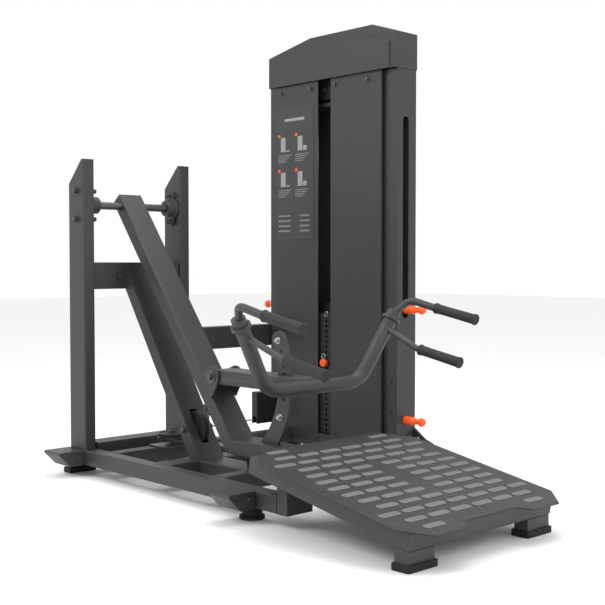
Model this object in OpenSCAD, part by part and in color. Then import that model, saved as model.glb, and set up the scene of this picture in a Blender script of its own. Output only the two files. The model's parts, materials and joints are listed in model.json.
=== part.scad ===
// Standing-lift pendulum machine with a weight tower beside it.
// X runs along the machine, from the rear frame (-X) to the front of the platform (+X).
// Y runs across it, with the tower on the +Y side. Z is up, and the floor is z = 0.

/* [Base frame] */
// Height of the underside of the base rails above the floor
rail_lift = 43; // [30:1:60]
// Height of a base rail
rail_h = 58; // [45:1:75]
// Width of a base rail
rail_w = 60; // [45:1:75]
// Distance from the centre plane to the outer face of a rail
frame_half_w = 253; // [225:1:290]
// X of the rear end of the rails
rail_rear_x = -900; // [-950:1:-890]
// X of the front end of the rails
rail_front_x = 385; // [345:5:390]
// Wall of the square tubes
tube_wall = 4; // [3:0.5:6]

/* [Rear frame] */
// X of the front face of the uprights
upright_front_x = -777; // [-800:1:-755]
// Length of an upright tube along X
upright_len = 110; // [90:1:130]
// Width of an upright tube along Y
upright_w = 48; // [38:1:60]
// Height of the top of the uprights
upright_top_z = 1228; // [1180:1:1400]
// Height of the sloping cut at the top of an upright
upright_cut = 90; // [50:1:110]
// Top of the cross beam between the uprights
beam_top_z = 830; // [760:1:880]
// Height of the cross beam between the uprights
beam_h = 105; // [80:1:120]

/* [Pendulum] */
// X of the axle
axle_x = -825; // [-845:1:-810]
// Height of the axle
axle_z = 1053; // [1000:1:1110]
// Diameter of the axle
axle_d = 30; // [25:1:35]
// Radial clearance between the axle and its bearings
axle_fit = 0.05; // [0.02:0.01:0.1]
// Width of the arm across the machine
arm_w = 106; // [90:1:124]
// Thickness of the arm tube
arm_t = 53; // [45:1:65]
// Angle of the arm below the horizontal
arm_angle = 52; // [49:0.5:55]
// Distance that the arm reaches past the axle
arm_past = 46; // [40:1:60]
// Top of the foot beam at rest
foot_top_z = 199; // [190:1:215]
// Front end of the foot beam
foot_front_x = 120; // [100:5:150]

/* [Handle] */
// X of the handle's pivot
pivot_x = -236; // [-245:1:-225]
// Height of the handle's pivot
pivot_z = 416; // [400:1:430]
// Height of the lever tube
lever_h = 50; // [40:1:56]
// Radius of the adjusting arc, from the pivot to the holes
sector_r = 337; // [325:1:340]
// Width of the sector plate across its arc
sector_w = 66; // [60:1:80]
// Thickness of the sector plate
sector_t = 12; // [8:1:16]
// Diameter of the adjusting holes
sector_hole_d = 13; // [10:0.5:16]
// Angle between two adjusting holes
sector_step = 4.7; // [4:0.1:6]
// X of the cross part of the U-shaped bar
ubar_x = 243; // [230:1:260]
// Diameter of the U-shaped bar
ubar_d = 48; // [40:1:52]
// Half of the width of the U-shaped bar at its upper ends
ubar_top_half_w = 352; // [330:1:380]
// Height of the upper ends of the U-shaped bar
ubar_top_z = 646; // [610:1:680]
// Diameter of a grip
grip_d = 34; // [30:1:40]
// Length of a grip
grip_len = 184; // [140:1:200]
// Diameter of a grip's steel stem
stem_d = 26; // [22:1:30]

/* [Platform] */
// X of the rear edge of the deck
deck_rear_x = 281; // [270:1:300]
// Height of the deck's top face at its rear edge
deck_rear_z = 238; // [225:1:260]
// Slope of the deck in degrees
deck_slope = 10.2; // [8:0.1:11]
// Length of the deck along its slope
deck_len = 739; // [650:1:800]
// Half of the deck's width
deck_half_w = 362; // [330:1:400]
// Thickness of the deck sheet
deck_t = 5; // [3:0.5:8]
// Height of the platform frame under the deck
skirt_h = 57; // [45:1:65]
// Inset of the platform frame from the edge of the deck
skirt_inset = 34; // [20:1:45]
// Pitch of the tread rows along the slope
tread_pitch = 54.1; // [50:0.1:60]
// Pitch of the tread inserts across a row
tread_step = 97.8; // [90:0.1:110]
// Length of a tread insert
tread_len = 84; // [70:1:88]
// Width of a tread insert
tread_w = 25; // [18:1:30]

/* [Weight tower] */
// Y of the front panels
tower_y = 700; // [660:5:760]
// Depth of the tower
tower_depth = 122; // [118:1:140]
// X of the side wall on the rear side
tower_rear_x = -770; // [-775:1:-765]
// X of the side wall on the platform side
tower_front_x = -28; // [-40:1:-15]
// Top of the tower cap
tower_top_z = 1780; // [1700:5:1900]
// Top of the front panels
panel_top_z = 1596; // [1560:1:1620]
// Bottom of the front panels
panel_bottom_z = 71; // [65:1:90]
// X of the centre line of the weight stack
stack_x = -431; // [-440:1:-420]
// Width of the gap between the two front panels
panel_gap = 76; // [60:1:90]
// Number of plates in the stack
plate_count = 22; // [16:1:24]
// Pitch of the plates
plate_pitch = 22.2; // [20:0.1:23]
// Length of a plate
plate_len = 300; // [260:1:320]
// Depth of a plate
plate_depth = 92; // [80:1:96]
// Plate that the selector pin is in, counted from the bottom
selected = 14; // [2:1:20]

/* [Motion] */
// Angle that the pendulum swings up from its stop
swing = 35; // [20:1:38]
// Lift of the stack for each radian of swing
lift_per_rad = 950; // [900:10:980]

/* [Hidden] */
$fn = 48;

rail_top_z = rail_lift + rail_h;
frame_inner = frame_half_w - upright_w;
upright_rear_x = upright_front_x - upright_len;
deck_front_x = deck_rear_x + deck_len * cos(deck_slope);
tower_back_y = tower_y + tower_depth;
grip_y = ubar_top_half_w + 40;
pad_rear_x = rail_rear_x - 15;
x_mid = (pad_rear_x + deck_front_x) / 2;
beam_front_x = upright_front_x - 12;
grip_rim = 4;
foot_d = 84;
tower_foot_y = tower_back_y - 30;
y_mid = (tower_foot_y + foot_d / 2 - grip_y - (grip_d + grip_rim) / 2) / 2;

steel = "#4b4b4c";
steel_light = "#5a5a5b";
orange = "#ff6626";
black = "#1d1d1e";
zinc = "#c4c4c2";

// Moves a piece from the machine's own axes to the centre of its footprint.
module placed() {
    translate([-x_mid, -y_mid, 0]) children();
}

module box(x0, x1, y0, y1, z0, z1) {
    translate([x0, y0, z0]) cube([x1 - x0, y1 - y0, z1 - z0]);
}

// A closed rectangular tube.
module tube(x0, x1, y0, y1, z0, z1, wall = tube_wall) {
    difference() {
        box(x0, x1, y0, y1, z0, z1);
        box(x0 + wall, x1 - wall, y0 + wall, y1 - wall, z0 + wall, z1 - wall);
    }
}

module both_sides() {
    children();
    mirror([0, 1, 0]) children();
}

module cyl_x(x0, x1, y, z, d) {
    translate([x0, y, z]) rotate([0, 90, 0]) cylinder(h = x1 - x0, d = d);
}

module cyl_y(x, y0, y1, z, d) {
    translate([x, y0, z]) rotate([-90, 0, 0]) cylinder(h = y1 - y0, d = d);
}

module cyl_z(x, y, z0, z1, d) {
    translate([x, y, z0]) cylinder(h = z1 - z0, d = d);
}

// A round rod from one point to another.
module rod(a, b, d) {
    v = b - a;
    across = norm([v[0], v[1]]);
    translate(a) rotate([0, atan2(across, v[2]), atan2(v[1], v[0])]) cylinder(h = norm(v), d = d);
}

// A flat shape in the XZ plane, thickened from y0 to y1.
module side_shape(y0, y1) {
    translate([0, y1, 0]) rotate([90, 0, 0]) linear_extrude(height = y1 - y0) children();
}

module slot_2d(length, width) {
    square([length - width, width], center = true);
    for (s = [-1, 1]) translate([s * (length - width) / 2, 0]) circle(d = width);
}

// Bolt head with its washer, standing on a face that looks towards -Y.
module bolt_near(x, y, z, d = 16) {
    cyl_y(x, y - d / 7, y, z, d * 1.15);
    cyl_y(x, y - d * 0.85, y - d / 7, z, d);
}

// The same bolt on a face that looks towards +X.
module bolt_front(x, y, z, d = 20) {
    cyl_x(x, x + 3, y, z, d * 1.3);
    cyl_x(x + 3, x + d * 0.9, y, z, d);
}

// ---------- base frame ----------
post_len = 50;
post_w = 110;
post_front_x = rail_front_x;
post_rear_x = post_front_x - post_len;
link_x = -700;
link_len = 60;
front_link_x = -60;
tower_beam_y0 = tower_back_y - 60;
landing_len = 60;
brace_w = arm_w + 8;
brace_angle = 56.1;
brace_t = 51;
brace_drop = 13;
brace_foot_x = brace_x(rail_top_z);
outrigger_y = 362;
outrigger_end_h = 10;
front_outrigger_x = 132;
front_outrigger_len = 104;
foot_x = front_outrigger_x + front_outrigger_len / 2;
pad_len = 50;
pad_h = 22;

module rails() {
    color(steel) placed() both_sides()
        tube(rail_rear_x, post_rear_x, frame_half_w - rail_w, frame_half_w, rail_lift, rail_top_z);
}

// Short cross beams that carry the base out past the rails, with their ends cut away below.
module outriggers() {
    slant = rail_h - outrigger_end_h;
    module outrigger(x0, x1) {
        translate([x0, 0, 0]) rotate([90, 0, 90]) linear_extrude(height = x1 - x0) polygon([
            [frame_half_w, rail_lift], [outrigger_y - slant, rail_lift],
            [outrigger_y, rail_top_z - outrigger_end_h], [outrigger_y, rail_top_z], [frame_half_w, rail_top_z]
        ]);
    }
    color(steel) placed() both_sides() {
        outrigger(rail_rear_x, upright_front_x - 8);
        outrigger(front_outrigger_x, front_outrigger_x + front_outrigger_len);
    }
}

module rear_base_beam() {
    inner = frame_half_w - rail_w;
    color(steel) placed()
        tube(upright_front_x - 90, upright_front_x, -inner, inner, rail_lift, rail_top_z + 24);
}

// Cross beams of the base. The two on the far side carry on to the tower.
module link_beam() {
    inner = frame_half_w - rail_w;
    landing_x = brace_foot_x - landing_len - 12;
    color(steel) placed() for (x = [link_x, front_link_x]) {
        tube(x, x + link_len, -inner, inner, rail_lift, rail_top_z);
        far_end = (x == link_x ? tower_y : lip_y) + sheet;
        tube(x, x + link_len, frame_half_w, far_end, rail_lift, rail_top_z);
    }
    color(steel) placed() {
        tube(landing_x, brace_foot_x, -inner, inner, rail_lift, rail_top_z);
        tube(brace_foot_x, front_link_x, -brace_w / 2, brace_w / 2, rail_lift, rail_top_z);
    }
}

module levelling_foot(x, y, top_z) {
    cyl_z(x, y, 0, 12, foot_d);
    cyl_z(x, y, 12, top_z, foot_d - 16);
}

// Rubber pads under the rear ends of the rails, and round levelling feet under the rest.
module floor_pads() {
    color(black) placed() {
        both_sides() {
            box(pad_rear_x, pad_rear_x + pad_len, frame_half_w - 105, frame_half_w + 15, 0, pad_h);
            box(rail_rear_x, pad_rear_x + pad_len - 6, frame_half_w - 95, frame_half_w + 5, pad_h, rail_lift);
            levelling_foot(foot_x, frame_half_w - rail_w / 2, rail_lift);
        }
        for (x = [tower_rear_x + 40, tower_front_x + 50])
            levelling_foot(x, tower_foot_y, rail_lift);
    }
}

// ---------- rear frame ----------
module upright_outline(inset) {
    rear = upright_rear_x + inset;
    front = upright_front_x - inset;
    top = upright_top_z - inset;
    polygon([
        [rear, rail_top_z + inset], [front, rail_top_z + inset], [front, top],
        [rear + upright_cut, top], [rear, top - upright_cut]
    ]);
}

module uprights() {
    color(steel) placed() both_sides() difference() {
        side_shape(frame_inner, frame_half_w) upright_outline(0);
        side_shape(frame_inner + tube_wall, frame_half_w - tube_wall) upright_outline(tube_wall);
    }
}

module upper_cross_beam() {
    color(steel) placed()
        tube(beam_front_x - 70, beam_front_x, -frame_inner, frame_inner, beam_top_z - beam_h, beam_top_z);
}

brace_pulley_r = 65;
brace_pulley_z = 205;
brace_pulley_t = 20;
brace_slot_w = 32;
brace_slot_len = 142;
brace_pulley_in = 19;

// X on the upper face of the brace at a given height.
function brace_x(z) = beam_front_x + (beam_top_z - brace_drop - z) / tan(brace_angle);

// The pulley's axis lies inside the brace, close below its front face.
brace_pulley_x = brace_x(brace_pulley_z) - brace_pulley_in / sin(brace_angle);
brace_pulley_cz = brace_pulley_z;

module brace_outline(inset) {
    run = (brace_t - 2 * inset) / sin(brace_angle);
    shift = inset / sin(brace_angle);
    foot = rail_top_z + inset;
    front = beam_front_x + inset;
    top_z = beam_top_z - brace_drop - inset * tan(brace_angle) - shift * tan(brace_angle);
    polygon([
        [front, top_z], [brace_x(foot) - shift, foot], [brace_x(foot) - shift - run, foot],
        [front, top_z - run * tan(brace_angle)]
    ]);
}

module brace() {
    color(steel) placed() difference() {
        side_shape(-brace_w / 2, brace_w / 2) brace_outline(0);
        side_shape(tube_wall - brace_w / 2, brace_w / 2 - tube_wall) brace_outline(tube_wall);
        translate([brace_pulley_x, 0, brace_pulley_cz]) rotate([0, brace_angle, 0])
            cube([brace_slot_len, brace_slot_w, brace_t * 3], center = true);
        cyl_y(brace_pulley_x, -brace_w, brace_w, brace_pulley_cz, 12.1);
    }
}

tie_x0 = -830;
tie_x1 = -780;

// Beam from the far upright to the rear side wall of the tower, with a flange at each end.
module tie_beam() {
    color(steel) placed() {
        tube(tie_x0, tie_x1, frame_half_w + 8, tower_y + 100, 460, 555);
        box(tie_x0 - 8, tie_x1 + 3, frame_half_w, frame_half_w + 8, 445, 570);
        box(tie_x1, tower_rear_x, tower_y + 20, tower_y + 100, 445, 570);
    }
}

bearing_h = 42;
bearing_bolt_span = 109;
bearing_bore = axle_d + 2 * axle_fit;

// Oval two-bolt bearing housing standing on the inner face of an upright.
module bearing_housings() {
    color(steel_light) placed() both_sides() difference() {
        union() {
            side_shape(frame_inner - 12, frame_inner) {
                translate([axle_x, axle_z]) circle(d = 84);
                for (s = [-1, 1]) translate([axle_x, axle_z + s * bearing_bolt_span / 2]) circle(d = 30);
                translate([axle_x - 15, axle_z - bearing_bolt_span / 2]) square([30, bearing_bolt_span]);
            }
            cyl_y(axle_x, frame_inner - bearing_h, frame_inner - 11, axle_z, 66);
            for (s = [-1, 1])
                cyl_y(axle_x, frame_inner - 36, frame_inner - 11, axle_z + s * bearing_bolt_span / 2, 18);
        }
        cyl_y(axle_x, frame_inner - bearing_h - 1, frame_inner + 1, axle_z, bearing_bore);
    }
}

foot_beam_h = 54;
foot_bottom_z = foot_top_z - foot_beam_h;

module stop_post() {
    color(black) placed() {
        cyl_z(front_link_x - 14, 0, rail_top_z, rail_top_z + 12, 40);
        cyl_z(front_link_x - 14, 0, rail_top_z + 12, foot_bottom_z, 44);
    }
}

// ---------- platform ----------
// The deck's own axes: x down the slope, z square to the deck, z = 0 on its top face.
module on_deck() {
    placed() translate([deck_rear_x, 0, deck_rear_z]) rotate([0, deck_slope, 0]) children();
}

seat_gap = 0.1;
function deck_under(x) = deck_rear_z - (x - deck_rear_x) * tan(deck_slope)
    - (deck_t + skirt_h + seat_gap) / cos(deck_slope);

skirt_half_w = deck_half_w - skirt_inset;
skirt_rear = 18;
skirt_front = deck_len - 51;
skirt_tube = 50;
leg_front_x = deck_rear_x + (skirt_front - 3) * cos(deck_slope) - skirt_h * sin(deck_slope);
leg_rear_x = leg_front_x - post_len;
leg_outer_y = skirt_half_w - 2;
cap_rim = 8;
cap_h = 20;

module sloped_post(x0, x1, y0, y1, z0) {
    difference() {
        side_shape(y0, y1) polygon([[x0, z0], [x1, z0], [x1, deck_under(x1)], [x0, deck_under(x0)]]);
        box(x0 + tube_wall, x1 - tube_wall, y0 + tube_wall, y1 - tube_wall,
            z0 + tube_wall, deck_under(x1) - tube_wall);
    }
}

// The posts under the rear of the platform and the legs under its front.
module platform_posts() {
    color(steel) placed() both_sides() {
        sloped_post(post_rear_x, post_front_x, frame_half_w - post_w, frame_half_w, rail_lift);
        sloped_post(leg_rear_x, leg_front_x, leg_outer_y - post_w, leg_outer_y, 6);
    }
}

module leg_caps() {
    y0 = leg_outer_y - post_w;
    color(black) placed() both_sides() difference() {
        hull() for (x = [leg_rear_x, leg_front_x], y = [y0, leg_outer_y]) cyl_z(x, y, 0, cap_h, 2 * cap_rim);
        box(leg_rear_x, leg_front_x, y0, leg_outer_y, 6, cap_h + 1);
    }
}

module platform_frame() {
    z1 = -deck_t;
    z0 = z1 - skirt_h;
    inner = skirt_half_w - skirt_tube;
    color(steel) on_deck() {
        both_sides() tube(skirt_rear, skirt_front, inner, skirt_half_w, z0, z1);
        for (s = [skirt_rear, (skirt_rear + skirt_front - skirt_tube) / 2, skirt_front - skirt_tube])
            tube(s, s + skirt_tube, -inner, inner, z0, z1);
    }
}

rear_chamfer = [96, 100];
front_chamfer = [80, 75];
notch_half_w = 157;
notch_depth = 38;

// One half of the deck's outline, from the middle of its rear edge round to its front.
deck_half = [
    [0, deck_half_w - rear_chamfer[1]], [rear_chamfer[0], deck_half_w],
    [deck_len - front_chamfer[0], deck_half_w], [deck_len, deck_half_w - front_chamfer[1]],
    [deck_len, notch_half_w], [deck_len - notch_depth, notch_half_w - notch_depth]
];

module deck() {
    last = len(deck_half) - 1;
    far_half = [for (i = [last:-1:0]) [deck_half[i][0], -deck_half[i][1]]];
    color(steel) on_deck() translate([0, 0, -deck_t]) linear_extrude(height = deck_t)
        polygon(concat(deck_half, far_half));
}

tread_first = 35;
tread_rows = 13;
tread_t = 1.2;
bare_row = 6;
bare_shift = 33;
bare_curve = 760;

// Outward shift that leaves the bare round patch in the middle of rows 4 to 8.
function tread_shift(row) = abs(row - bare_row) > 2 ? 0
    : bare_shift - pow((row - bare_row) * tread_pitch, 2) / bare_curve;

module tread(row, y) {
    translate([tread_first + row * tread_pitch, y, 0]) linear_extrude(height = tread_t)
        rotate(90) slot_2d(tread_len, tread_w);
}

module tread_inserts() {
    color("#8c8c8c") on_deck() for (row = [0:tread_rows - 1]) {
        if (row == 0 || row == tread_rows - 1) {
            both_sides() tread(row, 2.35 * tread_step);
        } else if (row == 2 || row == 10) {
            for (k = [-3:3]) tread(row, k * tread_step);
        } else {
            both_sides() for (k = [0:2]) tread(row, (k + 0.5) * tread_step + tread_shift(row));
        }
    }
}

screw_d = 9;
screw_edge = 16;

module deck_screws() {
    module screw(s, y) {
        translate([s, y, 0]) cylinder(h = 1.6, d = screw_d);
    }
    color(steel_light) on_deck() {
        both_sides() {
            for (k = [0:4]) screw(rear_chamfer[0] - 14 + k * 140, deck_half_w - screw_edge);
            for (y = [163, deck_half_w - 110]) screw(9, y);
            for (y = [notch_half_w + 6, deck_half_w - 82]) screw(deck_len - 15, y);
            screw(172, 210);
            screw(550, 222);
        }
        for (s = [60, 172, 278, 444, 551, 659]) screw(s, 0);
    }
}

module frame_bolts() {
    color(steel_light) placed() {
        for (s = [-1, 1]) bolt_near(axle_x, -frame_half_w, axle_z + s * bearing_bolt_span / 2, 22);
        for (x = [upright_front_x - 8, front_outrigger_x + front_outrigger_len])
            bolt_front(x, 32 - frame_half_w - 64, rail_lift + 32);
        for (s = [-1, 1]) bolt_front(beam_front_x, s * 92, beam_top_z - beam_h / 2);
        panel_screws();
    }
}

// ---------- pendulum ----------
module axle() {
    color(steel_light) placed() {
        cyl_y(axle_x, -frame_inner + 6, frame_inner - 6, axle_z, axle_d);
    }
}

// The arm's own axes: x down along the arm from the axle, z square to its front face.
module on_arm() {
    placed() translate([axle_x, 0, axle_z]) rotate([0, arm_angle, 0]) children();
}

arm_front = 22;
arm_back = arm_front - arm_t;

// Distance along the arm from the axle at which its front face meets a height.
function arm_reach(z) = (axle_z - z + arm_front * cos(arm_angle)) / sin(arm_angle);
function arm_face_x(z) = axle_x + arm_reach(z) * cos(arm_angle) + arm_front * sin(arm_angle);

arm_len = arm_reach(foot_top_z);
heel_x = arm_face_x(foot_top_z);
heel_low_x = heel_x - foot_beam_h / tan((180 - arm_angle) / 2);

module arm() {
    reach = arm_len + arm_t + 30;
    color(steel) difference() {
        on_arm() difference() {
            box(-arm_past, reach, -arm_w / 2, arm_w / 2, arm_back, arm_front);
            box(tube_wall - arm_past, reach - 70, tube_wall - arm_w / 2, arm_w / 2 - tube_wall,
                arm_back + tube_wall, arm_front - tube_wall);
            cyl_y(0, -arm_w, arm_w, 0, axle_d);
        }
        placed() side_shape(-arm_w, arm_w)
            polygon([
                [heel_x, foot_top_z], [heel_low_x - 200, foot_bottom_z - 200 * tan((180 - arm_angle) / 2)],
                [heel_x + 300, foot_bottom_z - 300], [heel_x + 300, foot_top_z]
            ]);
    }
}

module foot_beam() {
    color(steel) placed() difference() {
        side_shape(-arm_w / 2, arm_w / 2)
            polygon([
                [heel_x, foot_top_z], [heel_low_x, foot_bottom_z],
                [foot_front_x, foot_bottom_z], [foot_front_x, foot_top_z]
            ]);
        box(heel_x + 20, foot_front_x - tube_wall, tube_wall - arm_w / 2, arm_w / 2 - tube_wall,
            foot_bottom_z + tube_wall, foot_top_z - tube_wall);
    }
}

// Ring sector about the handle's pivot, from angle a0 to a1 above the level, closed with round ends.
sector_top = 25.3;
sector_low = -21;
sector_round = sector_w / 2;
sector_inner = sector_r - sector_w / 2;
sector_outer = sector_r + sector_w / 2;

module sector_ring(a0, a1) {
    difference() {
        circle(r = sector_outer, $fn = 180);
        circle(r = sector_inner, $fn = 180);
        rotate(a1) translate([-2 * sector_outer, 0]) square(4 * sector_outer);
        rotate(a0) translate([-2 * sector_outer, -4 * sector_outer]) square(4 * sector_outer);
        translate([-2 * sector_outer, -sector_outer]) square([2 * sector_outer, 2 * sector_outer]);
    }
}

module sector() {
    color(steel) placed() difference() {
        side_shape(-sector_t / 2, sector_t / 2) translate([pivot_x, pivot_z]) {
            sector_ring(-48, sector_top);
            rotate(sector_top) translate([sector_r, 0]) circle(r = sector_round);
        }
        box(pivot_x, pivot_x + 2 * sector_outer, -sector_t, sector_t, foot_top_z - 300, foot_top_z);
        for (k = [-2:4]) rotate_about_pivot(k * sector_step)
            cyl_y(pivot_x + sector_r, -sector_t, sector_t, pivot_z, sector_hole_d);
        for (a = [sector_top, sector_low]) rotate_about_pivot(a)
            cyl_y(pivot_x + sector_r, -sector_t, sector_t, pivot_z, 10);
    }
}

module rotate_about_pivot(angle) {
    translate([pivot_x, 0, pivot_z]) rotate([0, -angle, 0]) translate([-pivot_x, 0, -pivot_z]) children();
}

// Stop bolts near both ends of the sector's arc.
module sector_bolts() {
    color(zinc) placed() for (a = [sector_top, sector_low]) rotate_about_pivot(a) {
        cyl_y(pivot_x + sector_r, -sector_t / 2 - 2, -sector_t / 2, pivot_z, 24);
        cyl_y(pivot_x + sector_r, -sector_t / 2 - 16, sector_t / 2 + 10, pivot_z, 9.9);
        cyl_y(pivot_x + sector_r, -sector_t / 2 - 10, -sector_t / 2 - 2, pivot_z, 17);
        cyl_y(pivot_x + sector_r, sector_t / 2, sector_t / 2 + 8, pivot_z, 17);
    }
}

pivot_d = 24;
pivot_fit = 0.05;
cheek_y = 52;
cheek_t = 8;
base_plate_t = 8;

module lever_bracket() {
    reach = arm_reach(pivot_z);
    color(steel) {
        placed() for (s = [0, 1]) mirror([0, s, 0]) difference() {
            side_shape(cheek_y, cheek_y + cheek_t) {
                polygon([
                    [arm_face_x(pivot_z + 8), pivot_z + 8], [pivot_x - 14, pivot_z + 30],
                    [pivot_x + 24, pivot_z + 24],
                    [pivot_x + 36, pivot_z - 2], [pivot_x + 32, pivot_z - 26],
                    [arm_face_x(pivot_z - 80), pivot_z - 80]
                ]);
                translate([pivot_x, pivot_z]) circle(r = s == 1 ? 41 : 33);
            }
            cyl_y(pivot_x, 0, 100, pivot_z, pivot_d);
        }
        on_arm() box(reach - 8, reach + 96, -cheek_y, cheek_y, arm_front, arm_front + base_plate_t);
    }
}

module pivot_bolt() {
    color(steel_light) placed() {
        cyl_y(pivot_x, -cheek_y - cheek_t, cheek_y + cheek_t, pivot_z, pivot_d);
        both_sides() {
            cyl_y(pivot_x, cheek_y + cheek_t, cheek_y + cheek_t + 3, pivot_z, 50);
            cyl_y(pivot_x, cheek_y + cheek_t + 3, cheek_y + cheek_t + 15, pivot_z, 24);
        }
    }
}

anchor_reach = arm_reach(345);
anchor_drop = 44;
anchor_t = 8;

// Lug on the back of the arm that the cable is pinned to.
module cable_anchor() {
    color(steel_light) on_arm() difference() {
        union() {
            both_sides() side_shape(7, 7 + anchor_t) {
                translate([anchor_reach - 24, arm_back - anchor_drop]) square([48, anchor_drop]);
                translate([anchor_reach, arm_back - anchor_drop]) circle(r = 24);
            }
            cyl_y(anchor_reach, -22, 22, arm_back - anchor_drop, 12);
        }
    }
}

// ---------- handle ----------
lever_half_w = 51;
lever_slot_half_w = sector_t / 2 + 2;
pin_d = 12;

module lever() {
    front = ubar_x - pivot_x;
    color(steel) placed() translate([pivot_x, 0, pivot_z]) difference() {
        union() {
            box(0, front, -lever_half_w, lever_half_w, -lever_h / 2, lever_h / 2);
            cyl_y(0, -lever_half_w, lever_half_w, 0, lever_h);
        }
        difference() {
            box(30, front - 30, tube_wall - lever_half_w, lever_half_w - tube_wall,
                tube_wall - lever_h / 2, lever_h / 2 - tube_wall);
            for (x = [sector_inner - 22, sector_outer + 12])
                box(x, x + 10, -lever_half_w, lever_half_w, -lever_h, lever_h);
        }
        box(sector_inner - 6, sector_outer + 6, -lever_slot_half_w, lever_slot_half_w, -lever_h, lever_h);
        cyl_y(0, -lever_half_w - 1, lever_half_w + 1, 0, pivot_d + 2 * pivot_fit);
        cyl_y(sector_r, -lever_half_w - 1, lever_half_w + 1, 0, pin_d + 2 * pivot_fit);
        cyl_y(front, -lever_half_w - 1, lever_half_w + 1, 0, ubar_d);
    }
}

// The lock pin is drawn pulled out, so its tip is clear of the sector.
module lock_pin() {
    color(steel_light) placed() translate([pivot_x + sector_r, 0, pivot_z]) {
        cyl_y(0, -lever_half_w - 30, -sector_t / 2 - 1.5, 0, pin_d);
        cyl_y(0, -lever_half_w - 50, -lever_half_w - 28, 0, 22);
    }
}

ubar_forward = 32;
ubar_tilt = atan2(ubar_forward, ubar_top_z - pivot_z);
ubar_rise = (ubar_top_z - pivot_z) / cos(ubar_tilt);
ubar_foot_half_w = 214;
ubar_splay = atan2(ubar_top_half_w - ubar_foot_half_w, ubar_rise);
ubar_turn = 90 - ubar_splay;
ubar_bend_r = 100;
ubar_past = 12;
ubar_tangent = ubar_bend_r * tan(ubar_turn / 2);

// The bar's own axes: its plane is YZ, z = 0 on the cross part.
module on_ubar() {
    placed() translate([ubar_x, 0, pivot_z]) rotate([0, ubar_tilt, 0]) children();
}

module u_bar() {
    level = ubar_foot_half_w - ubar_tangent;
    leg = norm([ubar_top_half_w - ubar_foot_half_w, ubar_rise]);
    color(steel) on_ubar() {
        cyl_y(0, -level, level, 0, ubar_d);
        both_sides() {
            translate([0, level, ubar_bend_r]) rotate([90, 0, 90]) rotate([0, 0, -90])
                rotate_extrude(angle = ubar_turn) translate([ubar_bend_r, 0]) circle(d = ubar_d);
            translate([0, ubar_foot_half_w, 0]) rotate([-ubar_splay, 0, 0])
                translate([0, 0, ubar_tangent]) cylinder(h = leg - ubar_tangent + ubar_past, d = ubar_d);
        }
    }
}

collar_t = 13;
collar_d = 66;
collar_drop = 12;

// Thin rings round the upper ends of the U-shaped bar.
module collars() {
    leg = norm([ubar_top_half_w - ubar_foot_half_w, ubar_rise]);
    color(steel) on_ubar() both_sides() translate([0, ubar_foot_half_w, 0]) rotate([-ubar_splay, 0, 0])
        translate([0, 0, leg - collar_drop - collar_t]) difference() {
            cylinder(h = collar_t, d = collar_d);
            translate([0, 0, -1]) cylinder(h = collar_t + 2, d = ubar_d);
        }
}

grip_fall = 11;
upper_bend = [320, 392, 698];
upper_root = [279, 355, 652];
upper_start = [425, 392, 674];
lower_root = [280, 322, 596];
lower_start = [428, 306, 536];

// A grip's two ends, from where its stem enters it.
function grip_end(start) = start + grip_len * [cos(grip_fall), 0, -sin(grip_fall)];
function at_ubar(p) = [p[0] + ubar_x - 243, p[1] + ubar_top_half_w - 352, p[2] + ubar_top_z - 646];

module grip_stems() {
    bend_u = at_ubar(upper_bend);
    start_u = at_ubar(upper_start);
    start_l = at_ubar(lower_start);
    color(steel) placed() both_sides() {
        rod(at_ubar(upper_root), bend_u, stem_d);
        translate(bend_u) sphere(d = stem_d + 0.6);
        rod(bend_u, start_u, stem_d);
        translate(start_u) sphere(d = stem_d + 0.6);
        rod(start_u, grip_end(start_u), stem_d - 4);
        rod(at_ubar(lower_root), start_l, stem_d - 5);
        translate(start_l) sphere(d = stem_d - 3.4);
        rod(start_l, grip_end(start_l), stem_d - 4);
    }
}

module grips() {
    color("#3c3c3d") placed() both_sides() for (start = [at_ubar(upper_start), at_ubar(lower_start)]) {
        end = grip_end(start);
        along = (end - start) / grip_len;
        difference() {
            union() {
                rod(start + 14 * along, end + 4 * along, grip_d);
                rod(start + 14 * along, start + 20 * along, grip_d + grip_rim);
                rod(end - 4 * along, end + 4 * along, grip_d + grip_rim);
            }
            rod(start, end, stem_d - 4);
        }
    }
}

// ---------- cable pulleys of the base ----------
module pulley_disc(r, t, bore) {
    groove = 4;
    rotate_extrude() difference() {
        translate([bore / 2, -t / 2]) square([r - bore / 2, t]);
        translate([r, 0]) circle(r = groove + 0.5);
    }
}

module brace_pulley() {
    color(black) placed() translate([brace_pulley_x, 0, brace_pulley_cz]) rotate([90, 0, 0])
        pulley_disc(brace_pulley_r, brace_pulley_t, 12.1);
    color(zinc) placed() {
        cyl_y(brace_pulley_x, -brace_w / 2 - 1, brace_w / 2 + 1, brace_pulley_cz, 12);
        both_sides() cyl_y(brace_pulley_x, brace_w / 2 + 1, brace_w / 2 + 14, brace_pulley_cz, 21);
    }
}

flat_pulley_r = 58;
flat_pulley_t = 26;
flat_pulley_x = -636;
groove_in = 2;
flat_pulley_y = flat_pulley_r - groove_in;
cable_z = brace_pulley_z - brace_pulley_r + groove_in;
cable_d = 5;

module flat_pulley_pin() {
    pulley_face_z = cable_z + flat_pulley_t / 2;
    color(steel_light) placed() {
        box(link_x, flat_pulley_x + 40, -10, flat_pulley_y + 64, rail_top_z, rail_top_z + 6);
        cyl_z(flat_pulley_x, flat_pulley_y, rail_top_z + 6, pulley_face_z + 8, 12);
        cyl_z(flat_pulley_x, flat_pulley_y, pulley_face_z + 0.4, pulley_face_z + 9, 22);
    }
}

module flat_pulley() {
    color(black) placed() translate([flat_pulley_x, flat_pulley_y, cable_z])
        pulley_disc(flat_pulley_r, flat_pulley_t, 12.1);
}

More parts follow.
